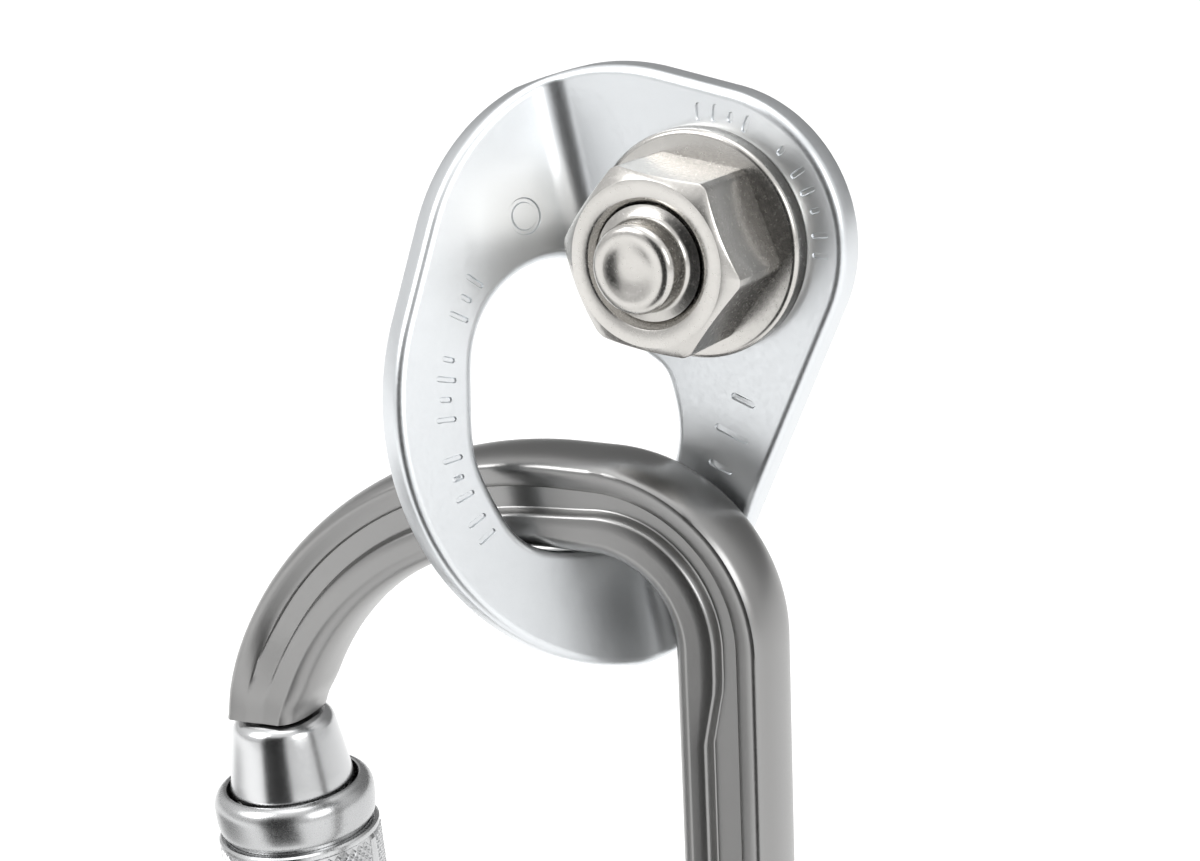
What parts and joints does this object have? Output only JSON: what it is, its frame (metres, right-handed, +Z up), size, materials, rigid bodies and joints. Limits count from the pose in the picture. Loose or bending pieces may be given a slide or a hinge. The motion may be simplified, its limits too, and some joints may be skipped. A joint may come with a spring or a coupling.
{
  "type": "climbing bolt anchor with locking carabiner",
  "caption": "Bent hanger plate on a bolt with washer and hex nut, and a D-shaped locking carabiner clipped through its eye.",
  "frame": {"origin": "on the bolt's axis, in the plane of the wall that the hanger plate's back rests on", "axes": "+Z up, +Y along the bolt into the wall, -Y towards the climber, +X to the climber's right"},
  "size_m": [0.0759, 0.0415, 0.1549],
  "materials": {
    "bolt_steel": "satin",
    "plate_steel": "satin",
    "nut_steel": "satin",
    "frame_aluminium": "satin anodised",
    "pin_steel": "satin",
    "gate_aluminium": "polished",
    "spring_steel": "bright",
    "guide_plastic": "matte",
    "sleeve_aluminium": "knurled",
    "collar_aluminium": "satin anodised"
  },
  "bodies": {
    "anchor": {"anchor_stud": "bolt_steel"},
    "hanger": {"hanger_plate": "plate_steel"},
    "washer_body": {"washer": "nut_steel"},
    "nut": {"hex_nut": "nut_steel"},
    "carabiner": {"carabiner_frame": "frame_aluminium", "gate_rivet": "pin_steel"},
    "gate": {"gate_barrel": "gate_aluminium", "track_pin": "pin_steel", "end_ring": "pin_steel", "gate_spring": "spring_steel", "sleeve_spring": "spring_steel"},
    "plunger": {"gate_plunger": "pin_steel"},
    "guide": {"sleeve_guide": "guide_plastic"},
    "sleeve": {"sleeve_shell": "sleeve_aluminium", "sleeve_collar": "collar_aluminium"}
  },
  "joints": [
    {"name": "plate_turn", "type": "hinge", "parent": "anchor", "child": "hanger", "pos_m": [0, -0.002, 0], "axis": [0, -1, 0], "range_deg": [-30, 30]},
    {"name": "washer_slide", "type": "slide", "parent": "anchor", "child": "washer_body", "axis": [0, -1, 0], "range_m": [0, 0.005]},
    {"name": "nut_turn", "type": "hinge", "parent": "washer_body", "child": "nut", "pos_m": [0, -0.0066, 0], "axis": [0, -1, 0], "range_deg": [0, 1030]},
    {"name": "carabiner_swing", "type": "hinge", "parent": "hanger", "child": "carabiner", "pos_m": [-0.0094, -0.01082, -0.03341], "axis": [-0.0872, 0.9962, 0], "range_deg": [-4, 8]},
    {"name": "gate_open", "type": "hinge", "parent": "carabiner", "child": "gate", "pos_m": [-0.04456, -0.0139, -0.1155], "axis": [-0.0872, 0.9962, 0], "range_deg": [0, 25], "stiffness_Nm_per_rad": 0.25, "springref_deg": -20.05},
    {"name": "plunger_slide", "type": "slide", "parent": "gate", "child": "plunger", "axis": [-0.1154, -0.0101, 0.9933], "range_m": [0, 0.0018], "deforming": ["gate_spring"]},
    {"name": "sleeve_lift", "type": "slide", "parent": "gate", "child": "guide", "axis": [-0.1154, -0.0101, 0.9933], "range_m": [0, 0.0035], "stiffness_N_per_m": 300, "springref_m": -0.004, "deforming": ["sleeve_spring"]},
    {"name": "sleeve_turn", "type": "hinge", "parent": "guide", "child": "sleeve", "pos_m": [-0.04744, -0.01415, -0.09067], "axis": [-0.1154, -0.0101, 0.9933], "range_deg": [0, 90], "stiffness_Nm_per_rad": 0.01, "springref_deg": -28.65}
  ],
  "couplings": [
    {"joint": "nut_turn", "follows": "washer_slide", "rad_per_m": 3590.4},
    {"joint": "plunger_slide", "follows": "gate_open", "m_per_rad": 0.0041}
  ]
}
